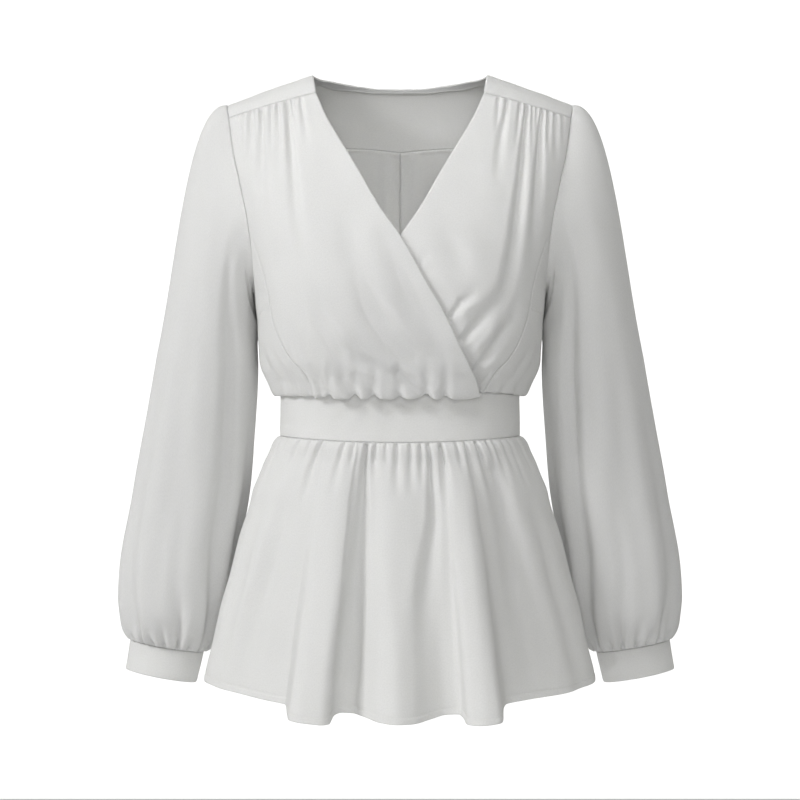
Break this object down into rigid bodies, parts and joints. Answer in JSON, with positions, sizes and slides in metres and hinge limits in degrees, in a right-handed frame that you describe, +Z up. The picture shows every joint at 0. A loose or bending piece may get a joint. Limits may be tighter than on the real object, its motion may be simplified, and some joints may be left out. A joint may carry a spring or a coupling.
{
  "type": "peplum top",
  "caption": "Off-white long-sleeved peplum top in its worn, hollow form: crossed V front, shoulder yoke, fitted waistband, fluted peplum and full sleeves gathered into cuffs.",
  "frame": {"origin": "middle of the line between the two shoulders, where the wearer holds the garment up", "axes": "+Z up the wearer's body, -Y to the front, +X to the wearer's left"},
  "size_m": [0.6092, 0.3061, 0.6687],
  "materials": {
    "crepe": "matt crepe, fine grain",
    "band": "matt crepe, doubled and pressed"
  },
  "bodies": {
    "root": {"yoke": "crepe", "neck_binding": "band", "front_over": "crepe", "front_under": "crepe", "side_panel_right": "crepe", "side_panel_left": "crepe", "back_right": "crepe", "back_left": "crepe", "waistband_front": "band", "waistband_back": "band", "peplum_front": "crepe", "peplum_back": "crepe", "sleeve_right": "crepe", "sleeve_left": "crepe", "cuff_right": "band", "cuff_left": "band"}
  },
  "joints": []
}
